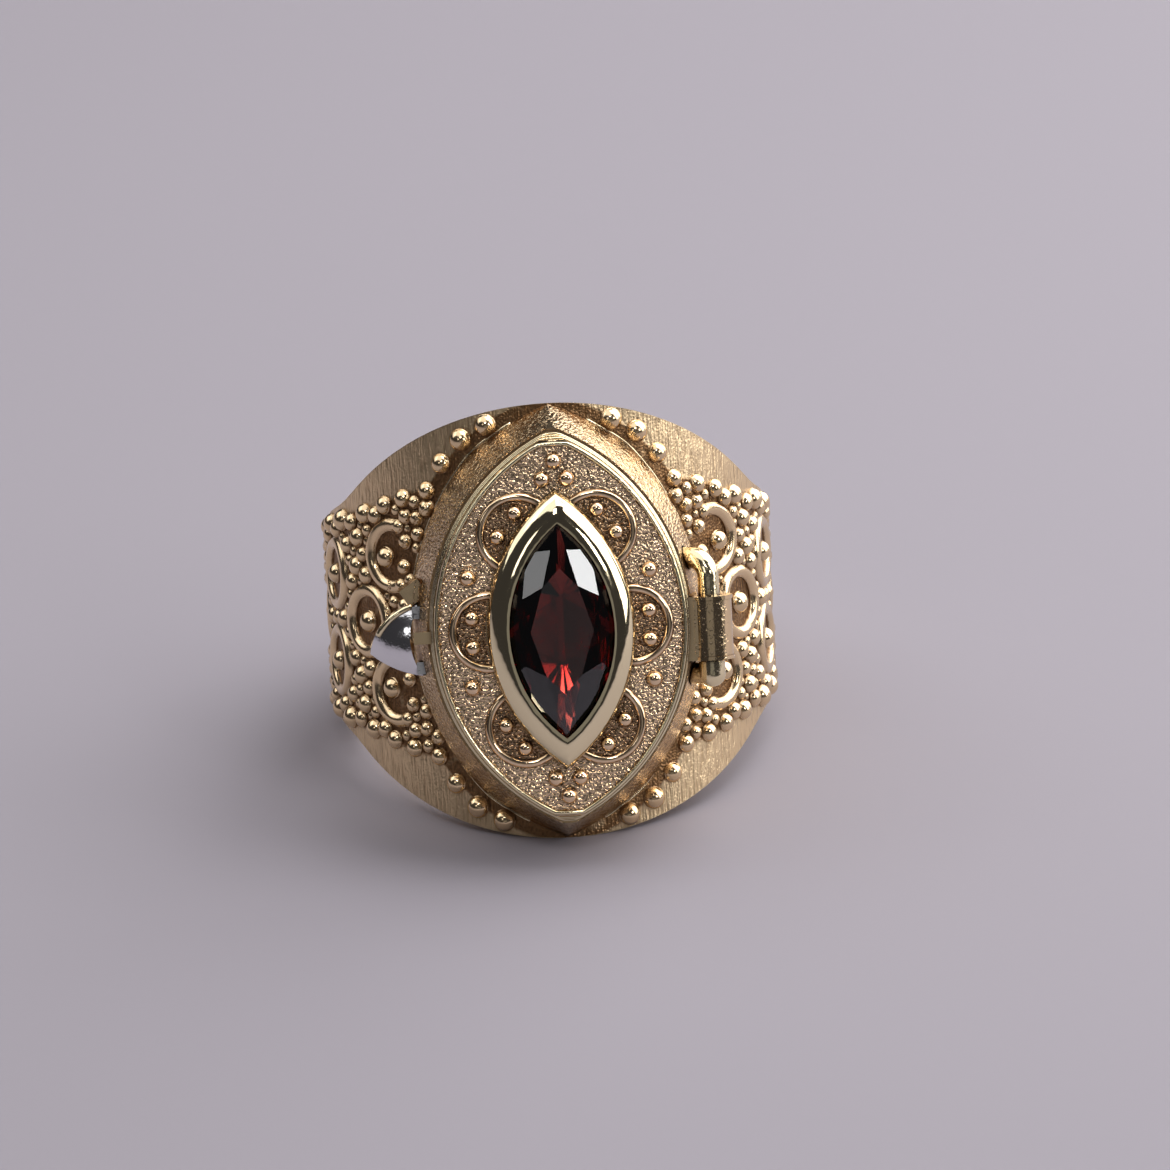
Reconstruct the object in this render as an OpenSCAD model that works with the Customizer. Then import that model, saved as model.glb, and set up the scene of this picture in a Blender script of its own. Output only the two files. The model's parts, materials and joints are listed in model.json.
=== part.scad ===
// Flip ring: a wide gold ring whose marquise lid, set with a garnet, opens on a side hinge.
// The ring lies on its side as it would by itself: it rests on the lower tip of its wide front
// and on the lower edge of its narrow back.
// Most pieces are drawn in the face frame: X to the right, Y up along the finger, Z out of the
// front of the ring, measured from the axis of the finger hole.

/* [Band] */
// Inner diameter of the finger hole
finger_d = 17.3; // [17:0.1:17.6]
// Thickness of the band's wall
wall = 1.35; // [1.25:0.05:1.4]
// Height of half the band at its back, along the finger
back_half = 2.75; // [2.5:0.05:3]
// Height of half the band at its front, along the finger
front_half = 9.8; // [9.7:0.05:9.9]
// Height of half the band where the shoulders begin to widen
side_half = 5.15; // [5.05:0.05:5.3]
// Distance of that place from the finger axis, towards the front
side_at = 3.8; // [3.5:0.1:4.1]
// Softness of the bend in the rim there
rim_blend = 0.3; // [0.1:0.05:0.4]

/* [Relief] */
// Radius of the wire scrolls on the shoulders
scroll_r = 1.42; // [1.4:0.01:1.43]
// Thickness of the scroll wire
scroll_wire = 0.66; // [0.62:0.02:0.66]
// Depth of the scroll wire's middle under the band's surface
scroll_sink = 0.1; // [0.08:0.01:0.12]
// Depth of a granule's middle under the band's surface
granule_sink = 0.06; // [0.04:0.01:0.08]

/* [Locket box] */
// Distance between each side's circle centre and the middle of the marquise outline
marquise_c = 3.8; // [3.7:0.05:3.9]
// Half width of the box wall where it meets the band
foot_w = 6.53; // [6.5:0.01:6.56]
// Half width of the box wall at its top
box_w = 5.95; // [5.9:0.05:6]
// Distance of the box's top from the finger axis
box_top = 12.6; // [12.5:0.05:12.7]
// Half width of the compartment
room_w = 4.95; // [4.8:0.05:5]
// Thickness of metal left under the compartment
room_floor = 0.8; // [0.7:0.05:0.9]

/* [Lid] */
// Gap under the lid
lid_gap = 0.06; // [0.05:0.01:0.1]
// Thickness of the lid from its base to its raised edge
lid_t = 1.2; // [1.15:0.05:1.3]
// Half width of the lid at its base
lid_w = 5.85; // [5.8:0.05:5.9]
// Half width of the lid at its raised edge
lid_top_w = 5.62; // [5.58:0.02:5.66]
// Width of the raised edge
edge_w = 0.16; // [0.14:0.02:0.2]
// Height of the raised edge above the plate
edge_h = 0.12; // [0.08:0.02:0.16]
// Thickness of the scallop wire
scallop_wire = 0.38; // [0.34:0.02:0.42]

/* [Bezel and stone] */
// Length of the stone
stone_l = 10; // [9.8:0.1:10.1]
// Width of the stone
stone_w = 5; // [4.9:0.05:5.05]
// Height of the bezel above the plate
bezel_h = 1.32; // [1.28:0.02:1.36]
// Half width of the bezel at its foot
bezel_foot_w = 3.3; // [3.26:0.02:3.34]
// Half width of the bezel at its lip
bezel_lip_w = 2.46; // [2.44:0.02:2.5]
// Distance between each side's circle centre and the middle of the bezel's outline
bezel_c = 4.2; // [4:0.1:4.3]

/* [Hinge] */
// Distance of the hinge axis from the middle of the face
hinge_x = 6.7; // [6.68:0.02:6.74]
// Diameter of the knuckle
knuckle_d = 2; // [1.94:0.02:2.04]
// Diameter of the staple wire
staple_d = 0.96; // [0.9:0.02:1]
// Clearance round the wire
hinge_play = 0.06; // [0.05:0.01:0.07]
// Diameter of the round stub under the knuckle
stub_d = 1.2; // [1.16:0.02:1.24]

/* [Catch] */
// Thickness of the spring leaf
leaf_t = 0.45; // [0.4:0.05:0.5]

/* [Hidden] */
// Small gap between fixed pieces
fit_gap = 0.05;

// Band sizes worked out from the driving ones
finger_r = finger_d / 2;
band_r = finger_r + wall;
front_slope = (front_half - side_half) / (band_r - side_at);
back_slope = (side_half - back_half) / (band_r + side_at);
rest_tilt = atan((rim(band_r) - rim(-band_r)) / (2 * band_r));
rest_h = rim(band_r) * cos(rest_tilt) - band_r * sin(rest_tilt);

// Face sizes worked out from the driving ones
foot_c = 5;
box_tip = 8.85;
// How much wider the upper part of the wall gets for each mm towards the band, at its sides and tips
wall_spread = 0.29;
tip_spread = 0.4;
core_at = 6;
room_at = 5;
lid_base = box_top + lid_gap;
plate_top = lid_base + lid_t - edge_h;
lid_band = 0.3;
lid_step = 0.06;
lid_tip = 8.75;
lid_top_tip = 8.32;
recess_inset = 0.2;
recess_w = room_w - recess_inset;
recess_h = 0.2;
lid_granule_sink = -0.1;
bezel_top = plate_top + bezel_h;
bezel_sunk = 0.3;
// The bezel's rounded side up to its lip: [height above the plate, how much narrower than the foot]
BEZEL_SIDE = [[-bezel_sunk, -0.04], [0.72, 0.05], [0.86, 0.13], [1.04, 0.3], [1.22, 0.57],
  [bezel_h, bezel_foot_w - bezel_lip_w]];

// The foremost point is on the bezel's lower tip and the hindmost is the upper edge of the back
front_reach = max([for (row = BEZEL_SIDE) (plate_top + row[0]) * cos(rest_tilt)
  + half_length(bezel_foot_w - row[1], bezel_c) * sin(rest_tilt)]);
back_reach = band_r * cos(rest_tilt) + rim(-band_r) * sin(rest_tilt);
// Brings the middle of the whole ring's length over the origin
middle_shift = (front_reach - back_reach) / 2;

// Stone and seat
lip_t = 0.2;
lip_over = 0.16;
seat_t = 0.5;
seat_play = 0.03;
girdle_drop = 0.24;
seat_floor = lid_base + seat_t;
seat_w = stone_w / 2 + seat_play;
mouth_w = stone_w / 2 - lip_over;
girdle_at = bezel_top - lip_t - girdle_drop;
girdle_t = 0.08;
crown_h = 0.45;
pavilion_h = 1.38;
table_share = 0.56;
middle_w_share = 0.77;
middle_l_share = 0.78;
middle_h_share = 0.62;
keel_share = 0.3;
stone_c = (pow(stone_l / 2, 2) + pow(stone_w / 2, 2)) / stone_w - stone_w / 2;

// Hinge
hinge_drop = 0.05;
hinge_at = box_top - hinge_drop;
knuckle_low = -1.8;
knuckle_high = 1.05;
knuckle_l = knuckle_high - knuckle_low;
knuckle_play = 0.1;
collar_t = 0.16;
collar_step = 0.05;
web_inset = 1.6;
web_w = 1.3;
web_h = 0.7;
staple_high = 2.7;
stub_at = -2.48;
bend_r = 0.85;
leg_l = 1.25;
leg_turn = 42;

// Catch: the leaf is part of a hollow ball, and its outline is the common part of the two circles of
// LEAF_OUTLINE less the circle of LEAF_BACK, all as [x, y, radius]
leaf_r = 2.8;
leaf_middle = [-6.15, -0.45, 8.95];
leaf_h = 4;
leaf_low = box_top - leaf_h;
LEAF_OUTLINE = [[-5.83, -1.39, 2.7], [-5.3, 3.11, 5.23]];
LEAF_BACK = [-3.97, -0.42, 2.73];
// Lower left corners of the leaf's two roots, [x, y], their size and their distance from the finger axis
ROOTS = [[-6.55, 0.55], [-6.45, -1.95]];
root_size = [0.95, 0.55, leaf_t];
root_at = 11.05;
bracket_middle = [-6.45, 1.7];
bracket_size = [1, 0.84, 1.9];
bracket_at = 9.4;
bracket_turn = 33;
tongue_corner = [-6.55, -0.45];
tongue_size = [1.2, 0.55, 0.5];

// Granules along the border and over the shoulders of one side, mirrored up and down
// [angle from the front, height, diameter]
BORDER = [
  [16.4, 8.93, 1.04], [23.4, 8.31, 1.04], [29.2, 7.25, 0.95], [33.9, 6.02, 0.87],
  [41.7, 5.66, 0.89], [48.5, 5.34, 0.89], [57, 4.92, 0.97], [69.5, 4.53, 1.06],
  [80, 4.25, 1], [91, 3.98, 0.95], [102, 3.74, 0.92], [113, 3.48, 0.88]];
FIELD = [
  [37.3, 4.79, 0.78], [41.5, 3.72, 0.76], [42.3, 2.55, 0.76], [46.6, 0.95, 0.62],
  [48.6, 2.98, 1.02], [60.8, 3.82, 0.92], [61.9, 2.5, 0.96], [67.2, 3.42, 0.86],
  [77.3, 2, 0.98], [89.5, 2.6, 0.84], [99, 2.5, 0.88], [108.5, 1.9, 0.84], [118, 1.5, 0.8]];
// Granules on the middle line of one side: [angle from the front, diameter]
MIDDLE = [[57, 1.06], [71, 0.94], [84.3, 0.84], [97, 0.98], [110.2, 0.95], [123, 0.88]];
// Closed scrolls: [angle from the front, height]
RINGS = [[57.5, 0], [97, 0], [77, 2], [77, -2]];
// Scrolls that open towards the box: [angle from the front, height]
HOOKS = [[46.3, 3.05], [46.3, -3.05]];
hook_open = 72;
hook_ball = 0.72;

// Wire scallops on a quarter of the lid: [x, y, radius of the wire's middle line]
SCALLOPS = [[1.75, 4.3, 1.66], [3.2, 0, 1.64]];
// Granules on a quarter of the lid: [x, y, diameter]
LID_GRANULES = [[3.95, 0.65, 0.7], [4.05, 2.45, 0.72], [2.65, 4.2, 0.68], [1.84, 5.25, 0.68],
  [0.55, 6.68, 0.72], [0, 7.48, 0.72]];

// Height of the rim at a distance y from the finger axis towards the front
function rim(y) =
  let (front = side_half + (y - side_at) * front_slope,
       back = side_half + (y - side_at) * back_slope)
  (front + back) / 2 + sqrt(pow((front - back) / 2, 2) + pow(rim_blend, 2));

// Half length of a marquise outline of half width w whose circle centres are c from its middle
function half_length(w, c) = sqrt(pow(w + c, 2) - pow(c, 2));

// A point of a marquise outline of half width w and half length l, at a turn from its upper tip
function on_marquise(w, l, turn) =
  let (r = (l * l + w * w) / (2 * w), y = l * cos(turn))
  [sign(sin(turn)) * (sqrt(r * r - y * y) - (r - w)), y];

module placed() {
  translate([0, middle_shift, rest_h]) rotate([-rest_tilt, 0, 0]) children();
}

module face() {
  placed() rotate([90, 0, 0]) children();
}

// A marquise block that goes from half width w0 to w1 over the height h
module marquise(w0, w1, h, c = marquise_c) {
  intersection() {
    translate([c, 0, 0]) cylinder(r1 = w0 + c, r2 = w1 + c, h = h, $fn = 180);
    translate([-c, 0, 0]) rotate([0, 0, 180]) cylinder(r1 = w0 + c, r2 = w1 + c, h = h, $fn = 180);
  }
}

// The same with blunt tips, whose half length goes from tip0 to tip1
module blunt_marquise(w0, tip0, w1, tip1, h) {
  intersection() {
    marquise(w0, w1, h);
    cylinder(r1 = tip0, r2 = tip1, h = h, $fn = 180);
  }
}

module on_band(angle, height) {
  rotate([0, 0, angle]) translate([0, -band_r, height]) rotate([90, 0, 0]) children();
}

module granule(d, sink) {
  translate([0, 0, -sink]) sphere(d = d, $fn = 32);
}

module wire_ring(r, d) {
  rotate_extrude($fn = 64) translate([r, 0]) circle(d = d, $fn = 24);
}

// The side view of the band and the box, as wide as the ring
module side_profile() {
  reach = box_top + 1;
  bend = [for (s = [-3:0.75:3]) side_at + s];
  ys = concat([-reach, -band_r], bend, [band_r, reach]);
  top = [for (y = ys) [-y, rim(y)]];
  bottom = [for (i = [len(ys) - 1:-1:0]) [-ys[i], -rim(ys[i])]];
  rotate([90, 0, 90]) translate([0, 0, -band_r - 1])
    linear_extrude(2 * band_r + 2) polygon(concat(top, bottom));
}

// The box, from inside the band to its top, made bigger by grow. Its wall spreads towards the band and
// is upright along its foot
module box_block(grow) {
  h = box_top - core_at;
  top_w = box_w + grow;
  top_tip = box_tip + grow;
  translate([0, 0, core_at]) intersection() {
    blunt_marquise(top_w + wall_spread * h, top_tip + tip_spread * h, top_w, top_tip, h);
    marquise(foot_w + grow, foot_w + grow, h, foot_c);
  }
}

module compartment() {
  difference() {
    rotate([90, 0, 0]) translate([0, 0, room_at]) marquise(room_w, room_w, box_top);
    cylinder(r = finger_r + room_floor, h = 4 * band_r, center = true, $fn = 180);
  }
}

module granules_of_side() {
  for (g = concat(BORDER, FIELD), up = [-1, 1])
    on_band(g[0], up * g[1]) granule(g[2], granule_sink);
  for (g = MIDDLE) on_band(g[0], 0) granule(g[1], granule_sink);
}

module scrolls_of_side() {
  for (s = RINGS) on_band(s[0], s[1]) translate([0, 0, -scroll_sink]) wire_ring(scroll_r, scroll_wire);
  for (s = HOOKS) on_band(s[0], s[1]) translate([0, 0, -scroll_sink]) {
    rotate([0, 0, 180 + hook_open]) rotate_extrude(angle = 360 - 2 * hook_open, $fn = 64)
      translate([scroll_r, 0]) circle(d = scroll_wire, $fn = 24);
    for (end = [-1, 1]) rotate([0, 0, 180 + end * hook_open]) translate([scroll_r, 0, 0])
      rotate([0, 0, end * 90]) sphere(d = hook_ball, $fn = 32);
  }
}

// The gold block beside the catch, on the box wall, made bigger by grow on every side
module bracket(grow) {
  all_sides = [grow, grow, grow];
  translate([bracket_middle[0], bracket_middle[1], bracket_at]) rotate([0, 0, bracket_turn])
    translate([-bracket_size[0] / 2, -bracket_size[1] / 2, 0] - all_sides) cube(bracket_size + 2 * all_sides);
}

// The space that the knuckle turns in
module knuckle_room() {
  rotate([90, 0, 0]) translate([hinge_x, knuckle_low - knuckle_play, hinge_at]) rotate([-90, 0, 0])
    cylinder(r = knuckle_d / 2 + collar_step + knuckle_play, h = knuckle_l + 2 * knuckle_play, $fn = 64);
}

// A wire of diameter d that goes straight through the knuckle. Above it the wire bends back into the
// wall, and below it a round stub of diameter stub has a leg into the wall too
module staple(d, stub, leg) {
  bend_from = staple_high - bend_r;
  stub_top = knuckle_low - knuckle_play;
  translate([hinge_x, 0, hinge_at]) {
    translate([0, stub_at, 0]) rotate([-90, 0, 0]) {
      cylinder(d = d, h = bend_from - stub_at, $fn = 48);
      cylinder(d = stub, h = stub_top - stub_at, $fn = 48);
      sphere(d = stub, $fn = 48);
    }
    translate([0, stub_at, 0]) towards_wall() cylinder(d = d, h = bend_r + leg, $fn = 48);
    translate([0, bend_from, 0]) towards_wall() {
      translate([0, 0, bend_r]) rotate([0, 90, 0])
        rotate_extrude(angle = 90, $fn = 64) translate([bend_r, 0]) circle(d = d, $fn = 48);
      translate([0, bend_r, bend_r]) cylinder(d = d, h = leg, $fn = 48);
    }
  }
}

// Turns what points along Z so that it points back into the box wall
module towards_wall() {
  rotate([0, -90 - leg_turn, 0]) children();
}

// The leaf's roots, made bigger by grow on every side
module catch_roots(grow) {
  all_sides = [grow, grow, grow];
  for (root = ROOTS)
    translate([root[0], root[1], root_at] - all_sides) cube(root_size + 2 * all_sides);
}

module band() {
  color([0.86, 0.72, 0.45]) placed() difference() {
    union() {
      intersection() {
        union() {
          rotate([0, 0, 90]) cylinder(r = band_r, h = 4 * band_r, center = true, $fn = 180);
          rotate([90, 0, 0]) box_block(0);
        }
        side_profile();
      }
      for (side = [0, 1]) mirror([side, 0, 0]) {
        granules_of_side();
        scrolls_of_side();
      }
      rotate([90, 0, 0]) bracket(0);
    }
    rotate([0, 0, 90]) cylinder(r = finger_r, h = 4 * band_r, center = true, $fn = 180);
    compartment();
    knuckle_room();
    rotate([90, 0, 0]) staple(staple_d + 2 * hinge_play, stub_d + 2 * hinge_play, leg_l + fit_gap);
    rotate([90, 0, 0]) catch_roots(fit_gap);
  }
}

module lid_plate() {
  bevel_h = lid_t - lid_band;
  plate_w = lid_top_w - edge_w;
  plate_tip = lid_top_tip - edge_w;
  difference() {
    union() {
      translate([0, 0, lid_base]) blunt_marquise(lid_w, lid_tip, lid_w, lid_tip, lid_band);
      translate([0, 0, lid_base + lid_band])
        blunt_marquise(lid_w - lid_step, lid_tip - lid_step, lid_top_w, lid_top_tip, bevel_h);
    }
    translate([0, 0, plate_top]) blunt_marquise(plate_w, plate_tip, plate_w, plate_tip, lid_t);
    translate([0, 0, lid_base - lid_t]) marquise(recess_w, recess_w, lid_t + recess_h);
  }
}

// The bezel has a steep foot and rounds over to its lip
module bezel() {
  intersection() {
    bezel_round();
    rotate([0, 0, 180]) bezel_round();
  }
}

// The round block whose left side is the bezel's left side
module bezel_round() {
  side = [for (row = BEZEL_SIDE) [bezel_foot_w - row[1] + bezel_c, row[0]]];
  translate([bezel_c, 0, plate_top]) rotate_extrude($fn = 180)
    polygon(concat([[0, -bezel_sunk]], side, [[0, bezel_h]]));
}

// The room for the stone: wide under the lip, and open at the lip
module seat() {
  translate([0, 0, seat_floor]) {
    marquise(seat_w, seat_w, bezel_top - lip_t - seat_floor, stone_c);
    marquise(mouth_w, mouth_w, bezel_top + lip_t - seat_floor, stone_c);
  }
}

module scallops() {
  for (s = SCALLOPS, sx = [-1, 1], sy = s[1] == 0 ? [1] : [-1, 1])
    translate([sx * s[0], sy * s[1], plate_top]) wire_ring(s[2], scallop_wire);
}

module lid_granules() {
  for (g = LID_GRANULES, sx = g[0] == 0 ? [1] : [-1, 1], sy = [-1, 1])
    translate([sx * g[0], sy * g[1], plate_top]) granule(g[2], lid_granule_sink);
}

// The tube that the lid turns on, with a thin collar at each end, and the web that joins it to the lid
module knuckle() {
  translate([hinge_x, knuckle_low, hinge_at]) rotate([-90, 0, 0]) {
    cylinder(d = knuckle_d, h = knuckle_l, $fn = 64);
    for (at = [0, knuckle_l - collar_t])
      translate([0, 0, at]) cylinder(r = knuckle_d / 2 + collar_step, h = collar_t, $fn = 64);
  }
  translate([hinge_x - web_inset, knuckle_low, lid_base]) cube([web_w, knuckle_l, web_h]);
}

// The small tongue that the leaf presses on
module tongue() {
  translate([tongue_corner[0], tongue_corner[1], lid_base]) cube(tongue_size);
}

module lid() {
  color([0.85, 0.66, 0.5]) face() difference() {
    union() {
      lid_plate();
      bezel();
      scallops();
      lid_granules();
      knuckle();
      tongue();
    }
    seat();
    translate([hinge_x, knuckle_low - knuckle_l / 2, hinge_at]) rotate([-90, 0, 0])
      cylinder(d = staple_d + 2 * hinge_play, h = 2 * knuckle_l, $fn = 48);
  }
}

// The cut stone, as a marquise brilliant: a table, star, kite and girdle facets above, and long
// facets below that run to a keel
module stone() {
  half_l = stone_l / 2;
  half_w = stone_w / 2;
  sides = 8;
  step = 360 / sides;
  rim_n = 2 * sides;
  girdle_top = girdle_at + girdle_t;
  table = [for (i = [0:sides - 1]) on_marquise(half_w * table_share, half_l * table_share, i * step)];
  middle = [for (i = [0:sides - 1])
    on_marquise(half_w * middle_w_share, half_l * middle_l_share, (i + 0.5) * step)];
  girdle = [for (i = [0:rim_n - 1]) on_marquise(half_w, half_l, i * step / 2)];
  points = concat(
    [for (p = table) [p[0], p[1], girdle_top + crown_h]],
    [for (p = middle) [p[0], p[1], girdle_top + crown_h * middle_h_share]],
    [for (p = girdle) [p[0], p[1], girdle_top]],
    [for (p = girdle) [p[0], p[1], girdle_at]],
    [for (up = [1, -1]) [0, up * half_l * keel_share, girdle_at - pavilion_h]]);
  // Where each row of points starts in that list; the table's row starts it
  mid = sides;
  top = mid + sides;
  low = top + rim_n;
  keel = low + rim_n;
  quarter = rim_n / 4;
  faces = concat(
    [[for (i = [0:sides - 1]) i]],
    [for (i = [0:sides - 1]) [i, mid + i, (i + 1) % sides]],
    [for (i = [0:sides - 1]) [i, mid + (i + sides - 1) % sides, top + 2 * i]],
    [for (i = [0:sides - 1]) [i, top + 2 * i, mid + i]],
    [for (i = [0:sides - 1]) [mid + i, top + 2 * i, top + 2 * i + 1]],
    [for (i = [0:sides - 1]) [mid + i, top + 2 * i + 1, top + (2 * i + 2) % rim_n]],
    [for (i = [0:rim_n - 1]) [top + i, low + i, low + (i + 1) % rim_n, top + (i + 1) % rim_n]],
    [for (i = [0:rim_n - 1])
      [low + (i + 1) % rim_n, low + i, keel + (i < quarter || i >= 3 * quarter ? 0 : 1)]],
    [[keel, keel + 1, low + quarter], [keel + 1, keel, low + 3 * quarter]]);
  color([0.4, 0.02, 0.06]) face() polyhedron(points, faces);
}

module hinge_staple() {
  color([0.9, 0.8, 0.55]) face() staple(staple_d, stub_d, leg_l);
}

// The leaf: a crescent cut out of a thin hollow ball, clear of the box wall, and its roots in the wall
module catch() {
  color([0.8, 0.8, 0.82]) face() union() {
    difference() {
      intersection() {
        translate(leaf_middle) difference() {
          sphere(r = leaf_r, $fn = 64);
          sphere(r = leaf_r - leaf_t, $fn = 64);
        }
        leaf_round(LEAF_OUTLINE[0]);
        leaf_round(LEAF_OUTLINE[1]);
      }
      leaf_round(LEAF_BACK);
      box_block(fit_gap);
      bracket(fit_gap);
    }
    catch_roots(0);
  }
}

// A round block over the leaf, from a row [x, y, radius]
module leaf_round(row) {
  translate([row[0], row[1], leaf_low]) cylinder(r = row[2], h = leaf_h, $fn = 64);
}

band();
lid();
stone();
hinge_staple();
catch();
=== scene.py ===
# %% [markdown]
# A gold locket ring, dressed in Blender
#
# The ring lies on its side. A wide band carries a small marquise box, and the lid of the box, with a
# marquise garnet in a bezel, opens on a hinge at its right. All of that comes as a fixed frame of solids
# at their real size. This lesson gives each solid its finish, adds the fine trim that a goldsmith would
# add last, and sets a floor, lights and a camera.
#
# First the frame is loaded. It could be measured by eye, but its record already says where the finger
# hole and the hinge are, so every later place is worked out from those two.

# %% Load the frame
import json
import math

import bpy
from mathutils import Matrix, Vector
from mathutils.bvhtree import BVHTree


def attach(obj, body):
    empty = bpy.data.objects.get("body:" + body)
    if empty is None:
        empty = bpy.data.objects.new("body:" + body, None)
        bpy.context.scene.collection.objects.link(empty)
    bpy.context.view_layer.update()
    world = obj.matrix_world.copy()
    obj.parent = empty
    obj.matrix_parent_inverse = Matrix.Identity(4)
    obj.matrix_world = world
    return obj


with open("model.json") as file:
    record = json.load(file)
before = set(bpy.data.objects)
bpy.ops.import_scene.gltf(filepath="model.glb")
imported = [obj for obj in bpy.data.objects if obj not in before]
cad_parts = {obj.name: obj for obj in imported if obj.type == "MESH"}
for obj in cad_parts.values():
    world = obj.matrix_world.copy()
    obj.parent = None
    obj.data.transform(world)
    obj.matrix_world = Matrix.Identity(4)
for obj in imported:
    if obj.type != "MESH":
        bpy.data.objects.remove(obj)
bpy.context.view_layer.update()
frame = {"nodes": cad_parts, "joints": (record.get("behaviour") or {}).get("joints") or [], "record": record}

MM = 0.001
finger_hole = Vector(frame["record"]["mounts"][0]["pos_m"])
finger_axis = Vector(frame["joints"][0]["axis"])
lean = math.atan2(finger_axis.y, finger_axis.z)
print("nodes", sorted(frame["nodes"]), "lean of the finger hole", round(math.degrees(lean), 2))

# %% [markdown]
# A goldsmith measures a ring from the axis of the finger hole. Three numbers in millimetres do it here
# too: x to the right, front out of the face, and up along the finger. The ring lies down, so that frame
# leans. One matrix takes its points to the floor's frame, and every piece and camera place goes
# through it, which keeps them right if the ring ever rests at another angle.

# %% The ring's own frame
ring_turn = Matrix.Rotation(-lean, 4, "X")
ring_frame = Matrix.Translation(finger_hole) @ ring_turn @ Matrix.Scale(MM, 4)


def ring_point(x, front, up):
    return ring_frame @ Vector((x, -front, up))


def ring_direction(x, front, up):
    return (ring_turn @ Vector((x, -front, up))).normalized()


bezel_front = 15.06
print("the bezel's lip is at", [round(v, 4) for v in ring_point(0, bezel_front, 0)])

# %% [markdown]
# A product photographer stands back and uses a long lens, so that the ring keeps its true proportions.
# The camera here is 345 mm away, only 5 degrees above the middle plane of the ring and a little to its
# left, and the picture is rolled by 3 degrees. It could be aimed with a constraint, but a matrix made of
# its right, up and back directions is exact and easy to read.

# %% Camera
camera_distance = 345
camera_rise = math.radians(5.2)
camera_side = math.radians(1.8)
camera_roll = math.radians(2.8)
picture_pixels, pixels_per_mm = 1170, 21.6
picture_mm = picture_pixels / pixels_per_mm
sensor_mm = 36
nearest_seen = 0.01
aim_right, aim_up = 1.62, 0.74

side = Vector((math.cos(camera_side), math.sin(camera_side), 0))
toward = Vector((-math.sin(camera_side), math.cos(camera_side), 0))
to_camera = ring_direction(*(toward * math.cos(camera_rise) + Vector((0, 0, math.sin(camera_rise)))))
level_right = ring_direction(*side)
level_up = ring_direction(*(Vector((0, 0, math.cos(camera_rise))) - toward * math.sin(camera_rise)))
right = level_right * math.cos(camera_roll) - level_up * math.sin(camera_roll)
up = level_up * math.cos(camera_roll) + level_right * math.sin(camera_roll)

camera_data = bpy.data.cameras.new("camera")
camera_data.sensor_width = sensor_mm
camera_data.lens = sensor_mm * camera_distance / picture_mm
camera_data.clip_start = nearest_seen
camera_data.dof.use_dof = False
camera = bpy.data.objects.new("camera", camera_data)
bpy.context.scene.collection.objects.link(camera)
camera_place = finger_hole + to_camera * camera_distance * MM
target = finger_hole + (right * aim_right + up * aim_up) * MM
back = (camera_place - target).normalized()
right = up.cross(back).normalized()
up = back.cross(right)
camera.matrix_world = Matrix.Translation(camera_place) @ Matrix((right, up, back)).transposed().to_4x4()
bpy.context.scene.camera = camera
print("lens", round(camera_data.lens, 1), "mm, camera height", round(camera_place.z * 1000, 1), "mm")

# %% [markdown]
# A material in Blender is a small graph of nodes. A few helpers keep the graphs below short. One adds a
# node and fills or links its inputs, and another does sums on numbers that differ from point to point.
# The rest blend values and colours, start a material, and give each point its place on the ring.

# %% Helpers for node graphs


def add_node(tree, kind, inputs=None, **settings):
    """A new node; an input is linked where its value comes from another node, and set otherwise."""
    made = tree.nodes.new("ShaderNode" + kind)
    for name, value in settings.items():
        setattr(made, name, value)
    for name, value in (inputs or {}).items():
        if isinstance(value, bpy.types.NodeSocket):
            tree.links.new(value, made.inputs[name])
        else:
            made.inputs[name].default_value = value
    return made


def sums(tree, operation, *values):
    return add_node(tree, "Math", dict(enumerate(values)), operation=operation).outputs[0]


def between(tree, value, low, high):
    """0 below low, 1 above high and smooth in between; low may be the bigger one."""
    made = add_node(tree, "MapRange", {"Value": value}, interpolation_type="SMOOTHSTEP", clamp=True)
    if low <= high:
        ends = (low, high, 0, 1)
    else:
        ends = (high, low, 1, 0)
    for name, end in zip(("From Min", "From Max", "To Min", "To Max"), ends):
        made.inputs[name].default_value = end
    return made.outputs[0]


def new_material(name):
    material = bpy.data.materials.new(name)
    material.use_nodes = True
    shader = material.node_tree.nodes["Principled BSDF"]
    return material, material.node_tree, shader


def mix_colour(tree, share, first, second):
    """The first colour where the share is 0, and the second where it is 1."""
    made = add_node(tree, "Mix", data_type="RGBA")
    for name, value in (("Factor", share), ("A", first), ("B", second)):
        socket = next(s for s in made.inputs if s.name == name and s.enabled)
        if isinstance(value, bpy.types.NodeSocket):
            tree.links.new(value, socket)
        else:
            socket.default_value = (*value, 1) if isinstance(value, tuple) else value
    return next(s for s in made.outputs if s.enabled)


def ring_coordinates(tree):
    """The point in the ring's own frame, in millimetres, and its x, front and up."""
    point = add_node(tree, "TexCoord").outputs["Object"]
    placed = add_node(tree, "Mapping", {"Vector": point, "Location": finger_hole,
                                        "Rotation": (-lean, 0, 0), "Scale": (MM, MM, MM)},
                      vector_type="TEXTURE").outputs[0]
    parts = add_node(tree, "SeparateXYZ", {0: placed}).outputs
    return placed, parts[0], sums(tree, "MULTIPLY", parts[1], -1.0), parts[2]


print("helpers for node graphs are ready")

# %% [markdown]
# The solids come in as triangles, and their stored shading smears the light round the foot of each
# granule. Their shape is right and stays. A small graph of Geometry Nodes joins the seams between the
# triangles, drops the stored shading and marks every edge that turns by more than 28 degrees as sharp,
# so that a cone looks like a cone and a corner like a corner.

# %% Clean shading for the solids
sharp_turn = math.radians(28)
seam_width = 1e-6

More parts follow.
